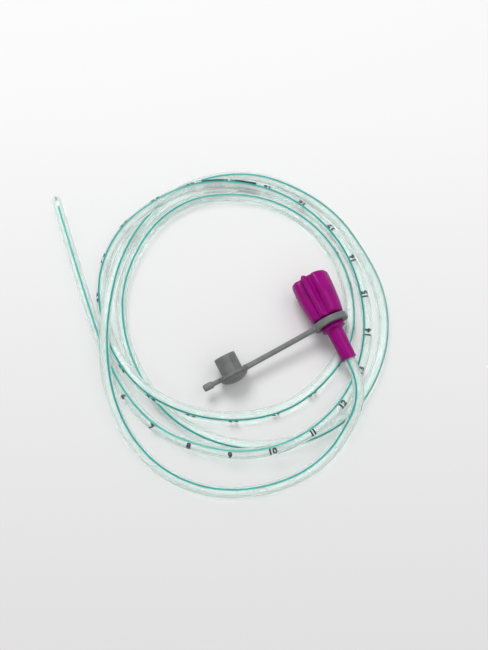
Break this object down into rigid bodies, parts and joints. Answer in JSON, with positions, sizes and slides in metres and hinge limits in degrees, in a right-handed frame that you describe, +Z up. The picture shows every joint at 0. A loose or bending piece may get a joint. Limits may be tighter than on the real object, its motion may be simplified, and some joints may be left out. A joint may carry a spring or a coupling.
{
  "type": "feeding tube",
  "caption": "Thin clear feeding tube in a loose coil, printed in centimetres, with a lobed connector and a tethered cap that swivels on its neck.",
  "frame": {"origin": "on the table under the middle of the box round the connector and its cap", "axes": "+Z up from the table, +X to the right and +Y away from the camera in the picture"},
  "size_m": [0.0871, 0.0845, 0.0099],
  "materials": {
    "connector_plastic": "glossy magenta-purple plastic",
    "cap_plastic": "satin grey plastic",
    "clear_tube": "clear pale green soft plastic with a teal line"
  },
  "bodies": {
    "set": {"connector": "connector_plastic", "tube": "clear_tube"},
    "tether": {"tethered_cap": "cap_plastic"}
  },
  "joints": [
    {"name": "tether_swivel", "type": "hinge", "parent": "set", "child": "tether", "pos_m": [0.01265, 0.00197, 0.00495], "axis": [-0.4115, 0.9114, 0], "range_deg": [-90, 160]}
  ]
}
